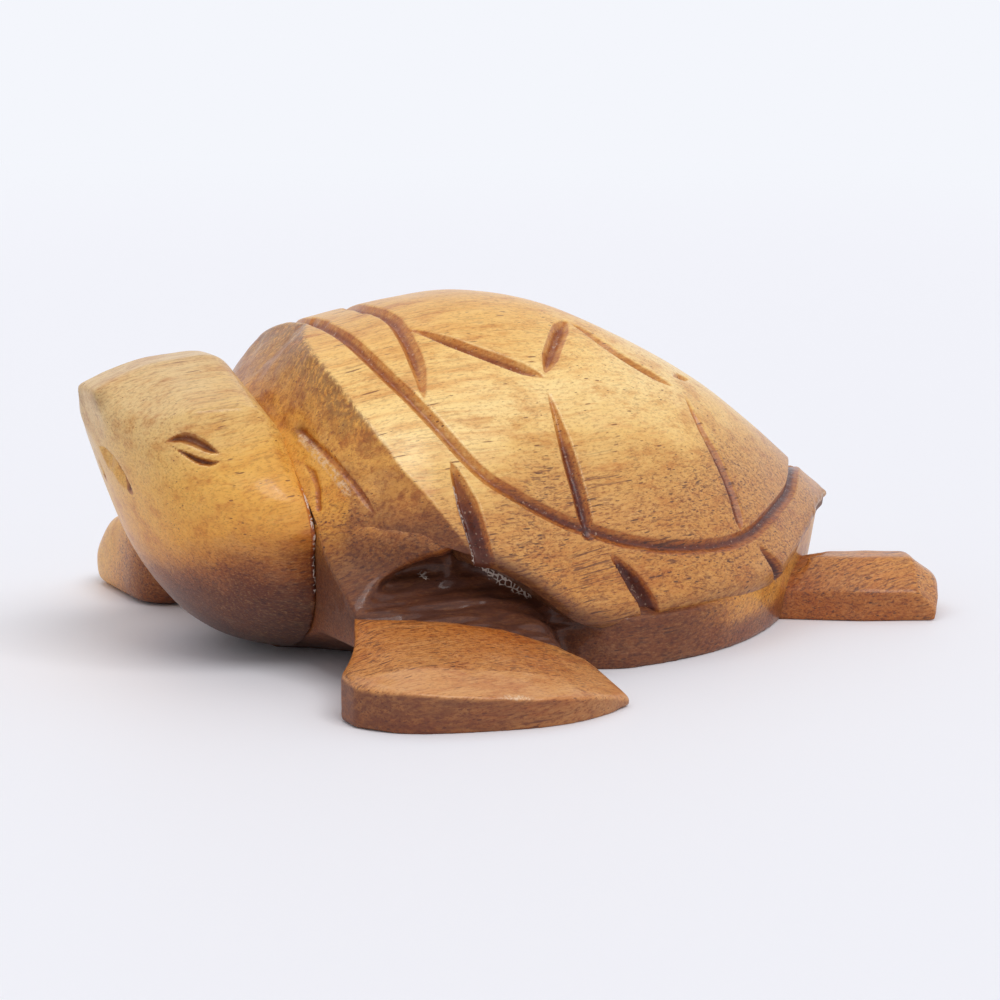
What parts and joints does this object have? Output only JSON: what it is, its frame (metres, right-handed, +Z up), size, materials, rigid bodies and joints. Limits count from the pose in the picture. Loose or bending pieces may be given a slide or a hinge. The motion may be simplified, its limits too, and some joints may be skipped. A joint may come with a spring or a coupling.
{
  "type": "turtle figurine",
  "caption": "Carved wooden sea turtle with a domed shell, grooved scutes, a blunt raised head and swept flippers, resting on its flat belly.",
  "frame": {"origin": "middle of the bounding box of the whole figure, on the plane that it rests on", "axes": "+X from the snout to the tail end, +Z up; +Y is the animal's right side"},
  "size_m": [0.0996, 0.092, 0.039],
  "materials": {
    "shell_wood": "clear gloss lacquer over carved hardwood, pale sapwood on the crown and brown heartwood towards the rim",
    "head_wood": "clear gloss lacquer over carved hardwood, pale crown and brown throat",
    "body_wood": "clear gloss lacquer over carved hardwood, brown heartwood",
    "flipper_wood": "clear gloss lacquer over carved hardwood, orange-brown heartwood with darker cut ends"
  },
  "bodies": {
    "root": {"carapace": "shell_wood", "plastron": "body_wood", "head_and_neck": "head_wood", "front_flipper_left": "flipper_wood", "front_flipper_right": "flipper_wood", "rear_flipper_left": "flipper_wood", "rear_flipper_right": "flipper_wood"}
  },
  "joints": []
}
